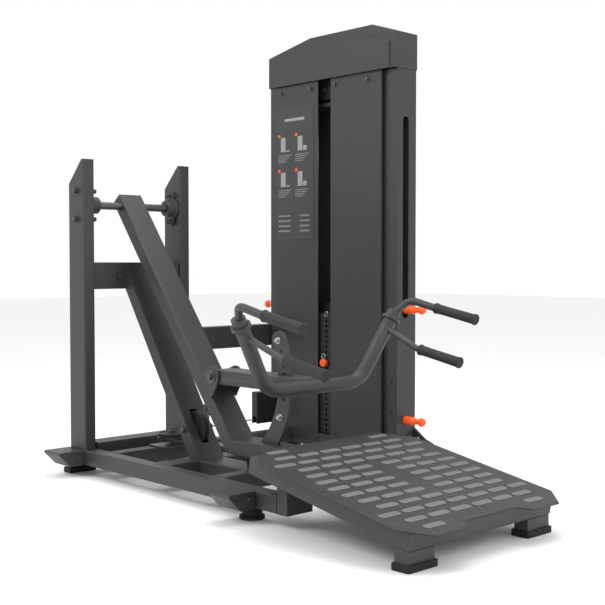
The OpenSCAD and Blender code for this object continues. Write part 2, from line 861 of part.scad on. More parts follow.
// ---------- weight tower ----------
sheet = 3;
stack_y = tower_y + 61;
stack_base_z = 105;
stack_top_z = stack_base_z + plate_count * plate_pitch;
rod_half_span = 110;
rod_d = 20;
rod_clear = 2;
peg_y = stack_y;
peg_z = stack_top_z + 48;
peg_d = 24;
side_slot_w = 34;
side_slot_top = peg_z + lift_per_rad * swing * PI / 180 + 187;
side_slot_low = peg_z - 34;
wall_post = 40;
head_plate_h = 20;
panel_split_rear = stack_x - panel_gap / 2;
panel_split_front = stack_x + panel_gap / 2;
panel_front_end = tower_front_x - 78;
front_lip = 50;
lip_y = tower_y + 12;
top_beam_z = panel_top_z - 116;
top_beam_h = 120;
top_beam_y0 = tower_back_y - sheet - wall_post + 4;
pulley_top_z = top_beam_z + 82;
tower_pulley_r = 54;
tower_pulley_t = 22;
groove_r = tower_pulley_r - groove_in;
cable_x = -758;
rise_y = tower_y + 25;
tower_pulley_y = rise_y - groove_r;
tower_pulley_z = cable_z + groove_r;
cover_front_y = tower_y - 108;
cover_top_z = 262;

module tower_frame() {
    color(steel) placed() {
        tube(tower_rear_x, tower_front_x + 98, tower_beam_y0, tower_back_y, rail_lift, rail_top_z);
        tube(tower_rear_x + sheet, panel_front_end - sheet, tower_y + sheet, tower_beam_y0,
            rail_lift, rail_top_z);
        tube(panel_front_end - sheet, tower_front_x - sheet, lip_y + sheet, tower_beam_y0,
            rail_lift, rail_top_z);
        for (x = [tower_rear_x + sheet, tower_front_x - sheet - wall_post])
            tube(x, x + wall_post, top_beam_y0, tower_back_y - sheet, rail_top_z, top_beam_z);
        tube(tower_rear_x + sheet, tower_front_x - sheet, top_beam_y0, tower_back_y - sheet,
            top_beam_z, top_beam_z + top_beam_h);
        for (x = top_pulley_x) top_pulley_axle(x);
        difference() {
            box(stack_x - rod_half_span - 30, stack_x + rod_half_span + 30, stack_y - 20,
                top_beam_y0, top_beam_z + 10, top_beam_z + 26);
            for (s = [-1, 1])
                cyl_z(stack_x + s * rod_half_span, stack_y, top_beam_z, top_beam_z + 40, rod_d);
            cyl_z(stack_x, stack_y, top_beam_z, top_beam_z + 40, 24);
        }
        difference() {
            side_shape(tower_back_y - 10, tower_back_y)
                polygon([
                    [tower_front_x, rail_top_z], [tower_front_x + 96, rail_top_z],
                    [tower_front_x + 96, rail_top_z + 8], [tower_front_x + 60, rail_top_z + 20],
                    [tower_front_x, rail_top_z + 62]
                ]);
            cyl_y(tower_front_x + 22, tower_back_y - 12, tower_back_y + 2, rail_top_z + 22, 12);
        }
    }
}

module panel_rear() {
    color(steel) placed() difference() {
        box(tower_rear_x, panel_split_rear, tower_y, tower_y + sheet, panel_bottom_z, panel_top_z);
        box(tower_rear_x - 1, cable_x + 26, tower_y - 1, tower_y + 5, cable_z - 12, cover_top_z);
        box(link_x - 1, link_x + link_len + 1, tower_y - 1, tower_y + 5, panel_bottom_z - 1, rail_top_z + 1);
    }
}

module panel_front() {
    color(steel) placed() {
        box(panel_split_front, panel_front_end, tower_y, tower_y + sheet, panel_bottom_z, panel_top_z);
        box(panel_front_end - sheet, panel_front_end, tower_y + sheet, lip_y, panel_bottom_z, panel_top_z);
    }
}

module side_slot(x) {
    translate([x - 10, peg_y, (side_slot_top + side_slot_low) / 2]) rotate([90, 0, 90])
        linear_extrude(height = 20 + sheet)
            rotate(90) slot_2d(side_slot_top - side_slot_low, side_slot_w);
}

module side_wall_rear() {
    color(steel) placed() difference() {
        box(tower_rear_x, tower_rear_x + sheet, tower_y + sheet, tower_back_y - sheet, rail_top_z, panel_top_z);
        side_slot(tower_rear_x);
        box(tower_rear_x - 1, tower_rear_x + sheet + 1, tower_y, rise_y + 8, cable_z - 12, cover_top_z);
    }
}

module side_wall_front() {
    x = tower_front_x - sheet;
    lip_x = tower_front_x - front_lip;
    color(steel) placed() difference() {
        union() {
            box(x, tower_front_x, lip_y, tower_back_y - sheet, rail_top_z, panel_top_z);
            box(lip_x, x, lip_y, lip_y + sheet, rail_top_z, panel_top_z);
            box(panel_front_end - 26, lip_x, lip_y + 10, lip_y + 10 + sheet, rail_top_z, panel_top_z);
            box(lip_x, lip_x + sheet, lip_y, lip_y + 10 + sheet, rail_top_z, panel_top_z);
        }
        side_slot(x);
        cyl_x(x - 1, tower_front_x + 1, peg_y, peg_low_z, 14);
        for (z = [228, 352]) cyl_y(tower_front_x - 28, lip_y - 1, lip_y + 5, z, 9);
    }
}

module back_panel() {
    color(steel) placed()
        box(tower_rear_x, tower_front_x, tower_back_y - sheet, tower_back_y, rail_top_z, panel_top_z);
}

cap_over = 6;
cap_wall = 4;
cap_low_z = panel_top_z;
cap_shoulder_z = tower_top_z - 52;
cap_flat_rear = -512;
cap_flat_front = -150;

module cap_outline(inset) {
    rear = tower_rear_x - cap_over + inset;
    front = tower_front_x + cap_over / 2 - inset;
    polygon([
        [rear, cap_low_z], [rear, cap_shoulder_z - inset],
        [cap_flat_rear, tower_top_z - inset], [cap_flat_front, tower_top_z - inset],
        [front, cap_shoulder_z + 9 - inset], [front, cap_low_z]
    ]);
}

module tower_cap() {
    y0 = tower_y - cap_over;
    y1 = tower_back_y + 3;
    color(steel) placed() {
        difference() {
            side_shape(y0, y1) cap_outline(0);
            side_shape(y0 + cap_wall, y1 - cap_wall) translate([0, -1]) cap_outline(cap_wall);
        }
        side_shape(y0 - 8, y0) polygon([
            [tower_rear_x + 34, cap_low_z], [tower_rear_x + 34, cap_shoulder_z - 41],
            [cap_flat_rear - 13, tower_top_z - 45], [cap_flat_front - 60, tower_top_z - 42],
            [panel_front_end + 51, cap_shoulder_z - 26], [panel_front_end + 51, cap_low_z]
        ]);
    }
}

// Screws of the tower's front panels.
module panel_screws() {
    for (x = [tower_rear_x + 74, panel_split_rear - 40, panel_split_front + 30, panel_front_end - 72])
        bolt_near(x, tower_y, panel_top_z - 29, 14);
    for (x = [panel_split_rear - 36, panel_split_front + 28]) bolt_near(x, tower_y, panel_bottom_z + 34, 12);
}

placard_x0 = -731;
placard_x1 = -493;
placard_z0 = 929;
placard_z1 = 1500;

module placard() {
    color("#8a8a8a") placed() box(placard_x0, placard_x1, tower_y - 1.5, tower_y, placard_z0, placard_z1);
}

module guide_rods() {
    color(zinc) placed() for (s = [-1, 1])
        cyl_z(stack_x + s * rod_half_span, stack_y, rail_top_z, top_beam_z + 26, rod_d);
}

module stack_bumpers() {
    color(black) placed() for (s = [-1, 1]) difference() {
        cyl_z(stack_x + s * rod_half_span, stack_y, rail_top_z, stack_base_z, 60);
        cyl_z(stack_x + s * rod_half_span, stack_y, rail_top_z - 1, stack_base_z + 1, rod_d + 1);
    }
}

// One plate of the stack, counted from the bottom, with its two rod holes and its pin hole.
plate_gap = 0.4;
pin_hole_d = 12;
selector_d = 10;
stem_rod_d = 24;

module plate(k) {
    z0 = stack_base_z + (k - 1) * plate_pitch;
    difference() {
        box(stack_x - plate_len / 2, stack_x + plate_len / 2, stack_y - plate_depth / 2,
            stack_y + plate_depth / 2, z0, z0 + plate_pitch - plate_gap);
        for (s = [-1, 1])
            cyl_z(stack_x + s * rod_half_span, stack_y, z0 - 1, z0 + plate_pitch, rod_d + 2 * rod_clear);
        cyl_z(stack_x, stack_y, z0 - 1, z0 + plate_pitch, stem_rod_d + 3);
        cyl_y(stack_x, stack_y - plate_depth, stack_y, z0 + plate_pitch / 2, pin_hole_d);
    }
}

module resting_plates() {
    color("#303031") placed() for (k = [1:selected - 1]) plate(k);
}

module lifted_plates() {
    color("#303031") placed() for (k = [selected:plate_count]) plate(k);
}

// The stack's head with the cross bar that carries the pegs, and its stem down through the plates.
module head_plate() {
    color(steel) placed() difference() {
        union() {
            box(stack_x - plate_len / 2, stack_x + plate_len / 2, stack_y - plate_depth / 2,
                stack_y + plate_depth / 2, stack_top_z, stack_top_z + head_plate_h);
            box(stack_x - 150, stack_x + 150, peg_y - 15, peg_y + 15, stack_top_z + head_plate_h, peg_z + 18);
            cyl_x(tower_rear_x + sheet + 6, tower_front_x - sheet - 6, peg_y, peg_z, peg_d + 4);
            cyl_z(stack_x, stack_y, peg_z + 18, peg_z + 50, 26);
            difference() {
                cyl_z(stack_x, stack_y, stack_base_z + 5, stack_top_z, stem_rod_d);
                for (k = [1:plate_count])
                    cyl_y(stack_x, stack_y - 40, stack_y + 40,
                        stack_base_z + (k - 0.5) * plate_pitch, pin_hole_d);
            }
        }
        for (s = [-1, 1])
            cyl_z(stack_x + s * rod_half_span, stack_y, stack_top_z - 1, peg_z + 60, rod_d + 2 * rod_clear);
    }
}

peg_out = 112;
peg_low_z = 198;

// Peg along +X with a wide foot from base_x, a tapered neck and a ball at its end.
module peg(base_x) {
    ball = peg_d + 10;
    cyl_x(0, base_x, 0, 0, peg_d);
    cyl_x(base_x, base_x + 42, 0, 0, ball);
    translate([base_x + 42, 0, 0]) rotate([0, 90, 0])
        cylinder(h = peg_out - ball / 2 - base_x - 42, d1 = ball - 4, d2 = peg_d - 4);
    translate([peg_out - ball / 2, 0, 0]) sphere(d = ball);
}

module upper_pegs() {
    reach = sheet + 6;
    color(orange) placed() {
        translate([tower_front_x - reach, peg_y, peg_z]) peg(reach + 2);
        translate([tower_rear_x + reach, peg_y, peg_z]) mirror([1, 0, 0]) peg(reach + 2);
    }
}

module lower_peg() {
    color(orange) placed() {
        translate([tower_front_x - 9, peg_y, peg_low_z]) difference() {
            peg(9);
            cyl_x(-1, 9, 0, 0, peg_d + 1);
        }
        cyl_x(tower_front_x - sheet - 8, tower_front_x, peg_y, peg_low_z, 13.9);
    }
}

selector_z = stack_base_z + (selected - 0.5) * plate_pitch;
head_y = tower_y - 12;

module selector_pin() {
    front = stack_y - plate_depth / 2;
    color(orange) placed() {
        cyl_y(stack_x, front - 14, front - 1, selector_z, 20);
        cyl_y(stack_x, head_y, front - 14, selector_z, 34);
        cyl_y(stack_x, front - 1, stack_y + stem_rod_d / 2, selector_z, selector_d);
    }
}

ring_r = 10;
ring_wire = 3;
ring_z = selector_z + 17 + ring_r + ring_wire / 2 + 0.2;
eye_z = stack_top_z + 8;
cord_y = stack_y - plate_depth / 2 - 6;

module wire_ring(y, z) {
    translate([stack_x, y, z]) rotate([90, 0, 0])
        rotate_extrude() translate([ring_r, 0]) circle(d = ring_wire);
}

module selector_ring() {
    color(zinc) placed() wire_ring(head_y + 8, ring_z);
}

// Cord from the selector pin's ring to a ring on the stack's head.
module lanyard() {
    color(black) placed() {
        wire_ring(cord_y + 4, eye_z + ring_r);
        rod([stack_x, head_y + 8, ring_z + ring_r + 2], [stack_x, cord_y, eye_z - 2], 2.5);
    }
}

module tower_pulley() {
    color(black) placed() translate([cable_x, tower_pulley_y, tower_pulley_z]) rotate([0, 90, 0])
        pulley_disc(tower_pulley_r, tower_pulley_t, 12.1);
}

cover_half_t = 18;

// Cover over the tower's lower pulley, open towards the tower and below.
module pulley_cover() {
    x0 = cable_x - cover_half_t;
    x1 = cable_x + cover_half_t;
    z0 = cable_z - 20;
    color(black) placed() {
        difference() {
            box(x0, x1, cover_front_y, tower_y, z0, cover_top_z - 1);
            box(x0 + sheet, x1 - sheet, cover_front_y + sheet, tower_y + 1, z0 - 1, cover_top_z - 4);
            box(cable_x - 12, cable_x + 12, cover_front_y - 1, cover_front_y + 20, z0 - 1, cable_z + 10);
        }
        cyl_x(x0 - 6, x1 + 6, tower_pulley_y, tower_pulley_z, 12);
        cyl_x(x1 + 6, x1 + 12, tower_pulley_y, tower_pulley_z, 20);
    }
}

top_pulley_r = 44;
top_pulley_groove = top_pulley_r - groove_in;
top_run = norm([stack_x - cable_x, stack_y - rise_y]);
top_turn = atan2(stack_y - rise_y, stack_x - cable_x);

// The two pulleys at the top turn in the upright plane from the rising cable to the stack.
module at_top_pulley(x) {
    translate([cable_x, rise_y, pulley_top_z]) rotate(top_turn) translate([x, 0, 0]) children();
}

top_pulley_x = [top_pulley_groove, top_run - top_pulley_groove];
top_pulley_t = 20;

// Fixed axle from the top beam's face through a pulley, with its nut.
module top_pulley_axle(x) {
    reach = (top_beam_y0 - rise_y - x * sin(top_turn)) / cos(top_turn) - 0.9;
    at_top_pulley(x) {
        cyl_y(0, -top_pulley_t / 2 - 8, reach, 0, 12);
        cyl_y(0, -top_pulley_t / 2 - 8, -top_pulley_t / 2 - 0.4, 0, 20);
    }
}

module top_pulley(x) {
    color(black) placed() at_top_pulley(x) rotate([90, 0, 0]) pulley_disc(top_pulley_r, top_pulley_t, 12.1);
}

module top_pulley_rear() {
    top_pulley(top_pulley_x[0]);
}

module top_pulley_front() {
    top_pulley(top_pulley_x[1]);
}

// ---------- cables ----------
module arm_cable() {
    anchor_x = axle_x + anchor_reach * cos(arm_angle) + (arm_back - anchor_drop) * sin(arm_angle);
    anchor_z = axle_z - anchor_reach * sin(arm_angle) + (arm_back - anchor_drop) * cos(arm_angle);
    groove = brace_pulley_r - groove_in;
    color(black) placed() {
        rod([anchor_x, 0, anchor_z - 9], [brace_pulley_x + groove, 0, brace_pulley_cz + 6], cable_d);
    }
}

module tower_cable() {
    groove = flat_pulley_r - groove_in;
    top_z = pulley_top_z + top_pulley_groove;
    color(black) placed() {
        rod([brace_pulley_x, 0, cable_z],
            [flat_pulley_x, flat_pulley_y - groove, cable_z], cable_d);
        rod([flat_pulley_x - groove, flat_pulley_y, cable_z], [cable_x, tower_pulley_y, cable_z], cable_d);
        rod([cable_x, rise_y, tower_pulley_z], [cable_x, rise_y, pulley_top_z], cable_d);
        translate([cable_x, rise_y, 0]) rotate(top_turn)
            rod([top_pulley_groove, 0, top_z], [top_run - top_pulley_groove, 0, top_z], cable_d);
    }
}

module stack_cable() {
    color(black) placed() rod([stack_x, stack_y, peg_z + 50], [stack_x, stack_y, pulley_top_z], cable_d);
}

rails();
outriggers();
rear_base_beam();
link_beam();
floor_pads();
uprights();
upper_cross_beam();
brace();
tie_beam();
bearing_housings();
stop_post();
platform_posts();
platform_frame();
leg_caps();
deck();
tread_inserts();
deck_screws();
frame_bolts();
axle();
arm();
foot_beam();
sector();
sector_bolts();
lever_bracket();
cable_anchor();
lever();
pivot_bolt();
u_bar();
collars();
grip_stems();
grips();
lock_pin();
tower_frame();
panel_rear();
panel_front();
side_wall_rear();
side_wall_front();
back_panel();
tower_cap();
placard();
guide_rods();
stack_bumpers();
head_plate();
lifted_plates();
resting_plates();
upper_pegs();
lower_peg();
selector_pin();
selector_ring();
lanyard();
brace_pulley();
flat_pulley();
flat_pulley_pin();
tower_pulley();
pulley_cover();
top_pulley_rear();
top_pulley_front();
arm_cable();
tower_cable();
stack_cable();
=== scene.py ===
import json
import math

import bmesh
import bpy
from mathutils import Matrix, Vector


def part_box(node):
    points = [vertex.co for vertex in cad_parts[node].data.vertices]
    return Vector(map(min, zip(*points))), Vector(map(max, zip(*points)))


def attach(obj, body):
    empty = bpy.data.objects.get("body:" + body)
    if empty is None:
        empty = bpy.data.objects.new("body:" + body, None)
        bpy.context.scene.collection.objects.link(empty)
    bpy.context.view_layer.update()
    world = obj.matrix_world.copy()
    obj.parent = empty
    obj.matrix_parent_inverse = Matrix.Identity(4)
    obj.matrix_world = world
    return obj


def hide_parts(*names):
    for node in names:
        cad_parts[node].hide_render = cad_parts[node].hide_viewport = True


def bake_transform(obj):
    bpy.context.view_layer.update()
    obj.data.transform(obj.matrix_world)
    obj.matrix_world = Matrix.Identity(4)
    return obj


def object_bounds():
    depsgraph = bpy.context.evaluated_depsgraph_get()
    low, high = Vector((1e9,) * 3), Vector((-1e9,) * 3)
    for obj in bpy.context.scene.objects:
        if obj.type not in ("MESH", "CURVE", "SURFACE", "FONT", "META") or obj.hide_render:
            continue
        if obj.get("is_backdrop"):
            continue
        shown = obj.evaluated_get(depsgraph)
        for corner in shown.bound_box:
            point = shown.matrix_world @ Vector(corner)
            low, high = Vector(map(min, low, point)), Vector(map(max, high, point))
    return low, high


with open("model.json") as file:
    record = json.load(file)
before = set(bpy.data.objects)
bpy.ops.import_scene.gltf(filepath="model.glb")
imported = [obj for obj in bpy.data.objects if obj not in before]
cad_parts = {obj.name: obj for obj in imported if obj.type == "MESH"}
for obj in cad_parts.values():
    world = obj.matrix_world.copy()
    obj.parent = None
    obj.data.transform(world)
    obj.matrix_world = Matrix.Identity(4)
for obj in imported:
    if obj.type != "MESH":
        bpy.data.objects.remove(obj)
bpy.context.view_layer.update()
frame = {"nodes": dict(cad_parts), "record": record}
nodes = frame["nodes"]
scene = bpy.context.scene
print("frame loaded:", len(nodes), "nodes")

# mm, from the machine's centre plane to the middle of its footprint
machine = {"shiftX": -46.66, "shiftY": -211.5}
up = Vector((0, 0, 1))


def at(x, y, z):
    return Vector((x + machine["shiftX"], y + machine["shiftY"], z)) / 1000


# the camera stands in front of the near corner of the platform
view = {"place": (2.7755, -2.677, 0.826), "down": 2.0886, "turn": 46.932, "lens": 63.93, "sensor": 36, "far": 60}

cameraData = bpy.data.cameras.new("camera")
cameraData.lens = view["lens"]
cameraData.sensor_width = view["sensor"]
cameraData.clip_end = view["far"]
camera = bpy.data.objects.new("camera", cameraData)
camera.location = view["place"]
camera.rotation_euler = (math.radians(90 - view["down"]), 0, math.radians(view["turn"]))
scene.collection.objects.link(camera)
scene.camera = camera

studio = {"sky": 1.0, "key": 90, "fill": 40, "rim": 60}

world = bpy.data.worlds.new("studio")
world.use_nodes = True
world.node_tree.nodes["Background"].inputs["Color"].default_value = (1, 1, 1, 1)
world.node_tree.nodes["Background"].inputs["Strength"].default_value = studio["sky"]
scene.world = world
scene.view_settings.view_transform = "Standard"


def softLight(name, place, target, size, power):
    lamp = bpy.data.lights.new(name, "AREA")
    lamp.shape = "RECTANGLE"
    lamp.size, lamp.size_y = size
    lamp.energy = power
    holder = bpy.data.objects.new(name, lamp)
    holder.location = place
    holder.rotation_euler = (Vector(target) - Vector(place)).to_track_quat("-Z", "Y").to_euler()
    scene.collection.objects.link(holder)
    return holder


softLight("keyLight", (-1.2, -3.6, 3.6), (0, 0, 0.7), (2.4, 2.0), studio["key"])
softLight("fillLight", (3.8, 0.6, 2.4), (0, 0, 0.8), (2.4, 2.4), studio["fill"])
softLight("topLight", (0.2, 0.4, 4.2), (0, 0, 0.5), (2.6, 2.0), studio["rim"])


# helpers for the shader groups
def newGroup(name, inputs, outputs):
    group = bpy.data.node_groups.new(name, "ShaderNodeTree")
    for label, kind, value in inputs:
        group.interface.new_socket(label, in_out="INPUT", socket_type=kind).default_value = value
    for label, kind in outputs:
        group.interface.new_socket(label, in_out="OUTPUT", socket_type=kind)
    return group, group.nodes.new("NodeGroupInput"), group.nodes.new("NodeGroupOutput")


def noiseAt(tree, scale, detail=3.0, roughness=0.55):
    where = tree.nodes.new("ShaderNodeTexCoord")
    grain = tree.nodes.new("ShaderNodeTexNoise")
    grain.inputs["Detail"].default_value = detail
    grain.inputs["Roughness"].default_value = roughness
    tree.links.new(where.outputs["Object"], grain.inputs["Vector"])
    if isinstance(scale, (int, float)):
        grain.inputs["Scale"].default_value = scale
    else:
        tree.links.new(scale, grain.inputs["Scale"])
    return grain


def mathNode(tree, operation, first, second=None, third=None, clamp=False):
    made = tree.nodes.new("ShaderNodeMath")
    made.operation = operation
    made.use_clamp = clamp
    for i, value in enumerate((first, second, third)):
        if value is None:
            continue
        if isinstance(value, (int, float)):
            made.inputs[i].default_value = value
        else:
            tree.links.new(value, made.inputs[i])
    return made.outputs[0]


def mixColor(tree, amount, first, second, blend="MIX"):
    made = tree.nodes.new("ShaderNodeMix")
    made.data_type = "RGBA"
    made.blend_type = blend
    for socket, value in ((made.inputs["Factor"], amount), (made.inputs[6], first), (made.inputs[7], second)):
        if isinstance(value, (int, float, tuple)):
            socket.default_value = value
        else:
            tree.links.new(value, socket)
    return made.outputs[2]


# Powder coat, rubber and casting all drift a little in tone over a hand's width.
toneDrift, source, result = newGroup(
    "toneDrift",
    [("Color", "NodeSocketColor", (0.1, 0.1, 0.1, 1)), ("Drift", "NodeSocketFloat", 0.1),
     ("Scale", "NodeSocketFloat", 4.0)],
    [("Color", "NodeSocketColor"), ("Mask", "NodeSocketFloat")],
)
cloud = noiseAt(toneDrift, source.outputs["Scale"], 4.0)
swing = mathNode(toneDrift, "MULTIPLY_ADD", cloud.outputs["Fac"], 2.0, -1.0)
gain = mathNode(toneDrift, "MULTIPLY_ADD", swing, source.outputs["Drift"], 1.0)
grey = toneDrift.nodes.new("ShaderNodeCombineColor")
for label in ("Red", "Green", "Blue"):
    toneDrift.links.new(gain, grey.inputs[label])
tinted = mixColor(toneDrift, 1.0, source.outputs["Color"], grey.outputs[0], "MULTIPLY")
toneDrift.links.new(tinted, result.inputs["Color"])
toneDrift.links.new(cloud.outputs["Fac"], result.inputs["Mask"])

# Fine surface grain: the orange peel of powder coat, the pebble of moulded rubber.
fineGrain, source, result = newGroup(
    "fineGrain",
    [("Scale", "NodeSocketFloat", 900.0), ("Strength", "NodeSocketFloat", 0.2), ("Depth", "NodeSocketFloat", 0.0002)],
    [("Normal", "NodeSocketVector"), ("Mask", "NodeSocketFloat")],
)
peel = noiseAt(fineGrain, source.outputs["Scale"], 2.0)
relief = fineGrain.nodes.new("ShaderNodeBump")
fineGrain.links.new(peel.outputs["Fac"], relief.inputs["Height"])
fineGrain.links.new(source.outputs["Strength"], relief.inputs["Strength"])
fineGrain.links.new(source.outputs["Depth"], relief.inputs["Distance"])
fineGrain.links.new(relief.outputs["Normal"], result.inputs["Normal"])
fineGrain.links.new(peel.outputs["Fac"], result.inputs["Mask"])

# Painted highlight: a lighter colour laid on convex edges, found by pointiness, broken up so that the line isn't even.
edgeHighlight, source, result = newGroup(
    "edgeHighlight",
    [("Amount", "NodeSocketFloat", 0.3), ("Scale", "NodeSocketFloat", 40.0)],
    [("Mask", "NodeSocketFloat")],
)
shape = edgeHighlight.nodes.new("ShaderNodeNewGeometry")
highlightBreakup = noiseAt(edgeHighlight, source.outputs["Scale"], 4.0)
ridge = mathNode(edgeHighlight, "MULTIPLY_ADD", shape.outputs["Pointiness"], 9.0, -4.7, clamp=True)
broken = mathNode(edgeHighlight, "MULTIPLY_ADD", highlightBreakup.outputs["Fac"], 2.4, -0.7, clamp=True)
edgeHighlight.links.new(
    mathNode(edgeHighlight, "MULTIPLY", mathNode(edgeHighlight, "MULTIPLY", ridge, broken), source.outputs["Amount"], clamp=True),
    result.inputs["Mask"],
)

# A thin film of dust on faces that look up.
dustFilm, source, result = newGroup(
    "dustFilm",
    [("Color", "NodeSocketColor", (0.1, 0.1, 0.1, 1)), ("Amount", "NodeSocketFloat", 0.1)],
    [("Color", "NodeSocketColor"), ("Mask", "NodeSocketFloat")],
)
shape = dustFilm.nodes.new("ShaderNodeNewGeometry")
split = dustFilm.nodes.new("ShaderNodeSeparateXYZ")
dustFilm.links.new(shape.outputs["Normal"], split.inputs[0])
flatUp = mathNode(dustFilm, "MULTIPLY_ADD", split.outputs["Z"], 2.0, -1.0, clamp=True)
patch = mathNode(dustFilm, "MULTIPLY_ADD", noiseAt(dustFilm, 9.0, 5.0).outputs["Fac"], 1.6, -0.3, clamp=True)
film = mathNode(dustFilm, "MULTIPLY", mathNode(dustFilm, "MULTIPLY", flatUp, patch), source.outputs["Amount"])
dustFilm.links.new(mixColor(dustFilm, film, source.outputs["Color"], (0.42, 0.41, 0.4, 1)), result.inputs["Color"])
dustFilm.links.new(film, result.inputs["Mask"])


def placeGroup(tree, group, **values):
    made = tree.nodes.new("ShaderNodeGroup")
    made.node_tree = group
    for label, value in values.items():
        made.inputs[label].default_value = value
    return made


def finish(name, color, rough, metallic=0.0, drift=0.08, driftScale=5.0, grain=900.0, grainStrength=0.2,
           grainDepth=0.0002, edgeHighlightAmount=0.0, edgeHighlightColor=(0.3, 0.3, 0.3, 1), dust=0.0, roughDrift=0.12, coat=0.0, specular=0.5):
    material = bpy.data.materials.new(name)
    material.use_nodes = True
    tree = material.node_tree
    shader = tree.nodes["Principled BSDF"]
    shader.inputs["Metallic"].default_value = metallic
    shader.inputs["Specular IOR Level"].default_value = specular
    shader.inputs["Coat Weight"].default_value = coat
    shader.inputs["Coat Roughness"].default_value = 0.25
    tone = placeGroup(tree, toneDrift, Color=(*color, 1), Drift=drift, Scale=driftScale)
    peel = placeGroup(tree, fineGrain, Scale=grain, Strength=grainStrength, Depth=grainDepth)
    paint = tone.outputs["Color"]
    # painted highlight: a lighter colour is mixed onto the convex edges of the paint
    if edgeHighlightAmount:
        edge = placeGroup(tree, edgeHighlight, Amount=edgeHighlightAmount)
        paint = mixColor(tree, edge.outputs["Mask"], paint, edgeHighlightColor)
    roughness = mathNode(tree, "MULTIPLY_ADD", tone.outputs["Mask"], roughDrift, rough - roughDrift / 2)
    if dust:
        film = placeGroup(tree, dustFilm, Amount=dust)
        tree.links.new(paint, film.inputs["Color"])
        paint = film.outputs["Color"]
        roughness = mathNode(tree, "ADD", roughness, film.outputs["Mask"], clamp=True)
    tree.links.new(paint, shader.inputs["Base Color"])
    tree.links.new(roughness, shader.inputs["Roughness"])
    tree.links.new(peel.outputs["Normal"], shader.inputs["Normal"])
    return material


# paints and coats
# the lighter edge colour given to these coats is a painted highlight along their edges
frameCoat = finish("frameCoat", (0.033, 0.033, 0.034), 0.44, grain=1100, edgeHighlightAmount=0.35,
                   edgeHighlightColor=(0.11, 0.11, 0.112, 1), dust=0.03, specular=0.4)
panelCoat = finish("panelCoat", (0.032, 0.032, 0.033), 0.48, drift=0.05, grain=1300, edgeHighlightAmount=0.2,
                   edgeHighlightColor=(0.1, 0.1, 0.102, 1), specular=0.4)
deckCoat = finish("deckCoat", (0.028, 0.028, 0.03), 0.55, drift=0.1, grain=700, grainStrength=0.35, edgeHighlightAmount=0.3,
                  edgeHighlightColor=(0.1, 0.1, 0.102, 1), dust=0.04, specular=0.3)
# rubber and plastic
blackRubber = finish("blackRubber", (0.012, 0.012, 0.012), 0.62, grain=500, grainStrength=0.35, dust=0.06,
                     specular=0.25)
gripRubber = finish("gripRubber", (0.022, 0.022, 0.023), 0.62, grain=1500, grainStrength=0.4, specular=0.3)
treadRubber = finish("treadRubber", (0.15, 0.149, 0.147), 0.7, drift=0.1, driftScale=12, grain=420,
                     grainStrength=0.5, grainDepth=0.0003, dust=0.04, specular=0.2)
blackPlastic = finish("blackPlastic", (0.016, 0.016, 0.017), 0.42, grain=800, dust=0.03, specular=0.35)
orangePlastic = finish("orangePlastic", (0.93, 0.11, 0.012), 0.36, drift=0.04, grain=700, grainStrength=0.08,
                       specular=0.35)
cableJacket = finish("cableJacket", (0.01, 0.01, 0.01), 0.4, grain=900, grainStrength=0.4)
# metal
zincPlate = finish("zincPlate", (0.45, 0.45, 0.46), 0.32, metallic=1.0, drift=0.1, driftScale=60, grain=300,
                   grainStrength=0.08)
darkSteel = finish("darkSteel", (0.1, 0.1, 0.104), 0.36, metallic=0.8, drift=0.12, driftScale=40, grain=500,
                   grainStrength=0.1)
chromeRod = finish("chromeRod", (0.5, 0.5, 0.52), 0.2, metallic=1.0, drift=0.04, grain=500, grainStrength=0.03)
# the plates' lighter edge colour is a painted highlight along their edges
plateIron = finish("plateIron", (0.016, 0.016, 0.017), 0.46, drift=0.15, driftScale=20, grain=500,
                   grainStrength=0.4, edgeHighlightAmount=0.5, edgeHighlightColor=(0.08, 0.08, 0.08, 1), specular=0.35)
# the placard's film and its marks
placardFilm = finish("placardFilm", (0.03, 0.03, 0.031), 0.36, drift=0.04, grain=1600, grainStrength=0.08)
placardInk = finish("placardInk", (0.26, 0.26, 0.26), 0.45, drift=0.06, driftScale=20, grain=1600,
                    grainStrength=0.05)
placardTint = finish("placardTint", (0.17, 0.17, 0.172), 0.4, drift=0.2, driftScale=30, grain=1600,
                     grainStrength=0.05)
print("finishes made")


# helpers for making pieces
def selectOnly(piece):
    for other in list(bpy.context.selected_objects):
        other.select_set(False)
    piece.select_set(True)
    bpy.context.view_layer.objects.active = piece


def addModifier(piece, kind, **settings):
    made = piece.modifiers.new(kind.lower(), kind)
    for label, value in settings.items():
        setattr(made, label, value)
    return made


def applyAll(piece):
    selectOnly(piece)
    for made in list(piece.modifiers):
        bpy.ops.object.modifier_apply(modifier=made.name)


def smoothPiece(piece, angle=38, weighted=True):
    selectOnly(piece)
    bpy.ops.object.shade_smooth_by_angle(angle=math.radians(angle))
    if weighted:
        addModifier(piece, "WEIGHTED_NORMAL", keep_sharp=True)
        applyAll(piece)


def dress(piece, material, body, slotName, *replaced):
    piece.data.materials.clear()
    piece.data.materials.append(material)
    if replaced:
        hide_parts(*replaced)
    if body:  # a piece given no body rides on none
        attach(piece, body)
    return piece


bodyOf = {n: body for body, members in frame["record"]["behaviour"]["bodies"].items() for n in members}
slotOf = {row["node"]: row["material_slot"] for row in frame["record"]["subparts"]}


